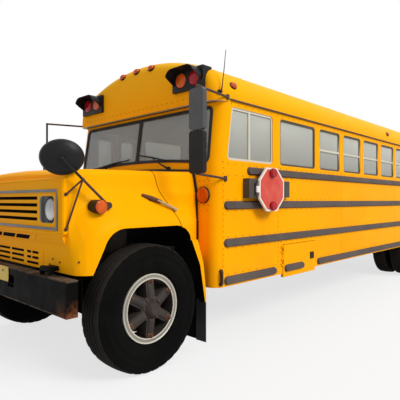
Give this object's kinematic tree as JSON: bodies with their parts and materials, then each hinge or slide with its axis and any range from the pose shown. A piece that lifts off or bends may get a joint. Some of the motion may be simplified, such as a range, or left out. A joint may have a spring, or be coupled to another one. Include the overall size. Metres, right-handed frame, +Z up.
{
  "type": "school bus",
  "caption": "Yellow conventional school bus with a tilting hood, sash windows, rub rails, folding stop arm and cast-spoke wheels.",
  "frame": {"origin": "centre of the bounding box on the ground", "axes": "+X to the bus's left, -Y to its front, +Z up"},
  "size_m": [2.821, 10.5933, 2.9296],
  "materials": {
    "body_yellow": "satin",
    "chassis_black": "satin",
    "rail_grey": "satin",
    "clear_glass": "gloss",
    "black_rubber": "matte",
    "sash_metal": "satin",
    "tyre_black": "matte",
    "wheel_cast": "satin",
    "amber_lens": "gloss",
    "red_lens": "gloss",
    "sign_red": "satin",
    "lamp_clear": "gloss",
    "seat_cover": "satin",
    "floor_cover": "matte",
    "bare_steel": "satin",
    "engine_cast": "matte",
    "black_plastic": "satin"
  },
  "bodies": {
    "bus": {"amber_lamps": "amber_lens", "chassis_frame": "chassis_black", "cowl": "body_yellow", "cowl_seal": "black_rubber", "driveline": "chassis_black", "engine": "engine_cast", "exhaust": "bare_steel", "floor": "floor_cover", "front_axle": "chassis_black", "front_bumper": "chassis_black", "front_wall": "body_yellow", "fuel_tank": "bare_steel", "leaf_springs": "chassis_black", "mud_flaps": "black_rubber", "rear_axle": "chassis_black", "rear_bumper": "chassis_black", "rear_wall": "body_yellow", "red_lamps": "red_lens", "roof": "body_yellow", "rub_rails": "rail_grey", "seats": "seat_cover", "side_glass": "clear_glass", "side_left": "body_yellow", "side_mirrors": "sash_metal", "side_right": "body_yellow", "steering_wheel": "black_plastic", "stop_arm_base": "black_plastic", "warning_lamp_boxes": "black_plastic", "window_sashes": "sash_metal", "windscreen": "clear_glass", "windscreen_rubber": "black_rubber"},
    "hood": {"hood_shell": "body_yellow", "grille": "body_yellow", "headlamps": "lamp_clear", "hood_lamps": "amber_lens", "hood_mirrors": "black_plastic"},
    "entrance_front": {"entrance_leaf_front": "body_yellow", "entrance_glass_front": "clear_glass"},
    "entrance_rear": {"entrance_leaf_rear": "body_yellow", "entrance_glass_rear": "clear_glass"},
    "emergency": {"emergency_door": "body_yellow", "emergency_glass": "clear_glass"},
    "battery": {"battery_door": "body_yellow"},
    "stop_arm": {"stop_sign": "sign_red"},
    "steered_left": {"knuckle_left": "chassis_black"},
    "steered_right": {"knuckle_right": "chassis_black"},
    "tie": {"tie_rod": "chassis_black"},
    "wheel_front_left": {"front_wheel_left": "wheel_cast", "front_tyre_left": "tyre_black"},
    "wheel_front_right": {"front_wheel_right": "wheel_cast", "front_tyre_right": "tyre_black"},
    "wheel_rear_left": {"rear_wheel_left": "wheel_cast", "rear_tyres_left": "tyre_black"},
    "wheel_rear_right": {"rear_wheel_right": "wheel_cast", "rear_tyres_right": "tyre_black"}
  },
  "joints": [
    {"name": "steer_left", "type": "hinge", "parent": "bus", "child": "steered_left", "pos_m": [0.87, -4.4875, 0.527], "axis": [0, 0, 1], "range_deg": [-35, 35]},
    {"name": "steer_right", "type": "hinge", "parent": "bus", "child": "steered_right", "pos_m": [-0.87, -4.4875, 0.527], "axis": [0, 0, 1], "range_deg": [-35, 35]},
    {"name": "tie_rod_turn", "type": "hinge", "parent": "steered_left", "child": "tie", "pos_m": [0.87, -4.2975, 0.405], "axis": [0, 0, 1], "range_deg": [-35, 35]},
    {"name": "wheel_front_left_spin", "type": "hinge", "parent": "steered_left", "child": "wheel_front_left", "pos_m": [1.035, -4.4875, 0.527], "axis": [1, 0, 0], "continuous": true},
    {"name": "wheel_front_right_spin", "type": "hinge", "parent": "steered_right", "child": "wheel_front_right", "pos_m": [-1.035, -4.4875, 0.527], "axis": [1, 0, 0], "continuous": true},
    {"name": "wheel_rear_left_spin", "type": "hinge", "parent": "bus", "child": "wheel_rear_left", "pos_m": [0.8975, 1.9645, 0.527], "axis": [1, 0, 0], "continuous": true},
    {"name": "wheel_rear_right_spin", "type": "hinge", "parent": "bus", "child": "wheel_rear_right", "pos_m": [-0.8975, 1.9645, 0.527], "axis": [1, 0, 0], "continuous": true},
    {"name": "hood_tilt", "type": "hinge", "parent": "bus", "child": "hood", "pos_m": [0, -5.2205, 0.9], "axis": [1, 0, 0], "range_deg": [0, 60]},
    {"name": "entrance_front_swing", "type": "hinge", "parent": "bus", "child": "entrance_front", "pos_m": [-1.2195, -3.5395, 1.385], "axis": [0, 0, 1], "range_deg": [0, 88]},
    {"name": "entrance_rear_swing", "type": "hinge", "parent": "bus", "child": "entrance_rear", "pos_m": [-1.2195, -2.8055, 1.385], "axis": [0, 0, -1], "range_deg": [0, 88]},
    {"name": "emergency_swing", "type": "hinge", "parent": "bus", "child": "emergency", "pos_m": [-0.377, 5.162, 1.7], "axis": [0, 0, 1], "range_deg": [0, 100]},
    {"name": "battery_door_swing", "type": "hinge", "parent": "bus", "child": "battery", "pos_m": [1.2255, -2.6245, 0.72], "axis": [0, 0, -1], "range_deg": [0, 100]},
    {"name": "stop_arm_swing", "type": "hinge", "parent": "bus", "child": "stop_arm", "pos_m": [1.312, -3.2555, 1.526], "axis": [0, 0, -1], "range_deg": [0, 90]}
  ],
  "couplings": [
    {"joint": "steer_right", "follows": "steer_left", "ratio": 1},
    {"joint": "tie_rod_turn", "follows": "steer_left", "ratio": -1},
    {"joint": "entrance_rear_swing", "follows": "entrance_front_swing", "ratio": 1}
  ]
}
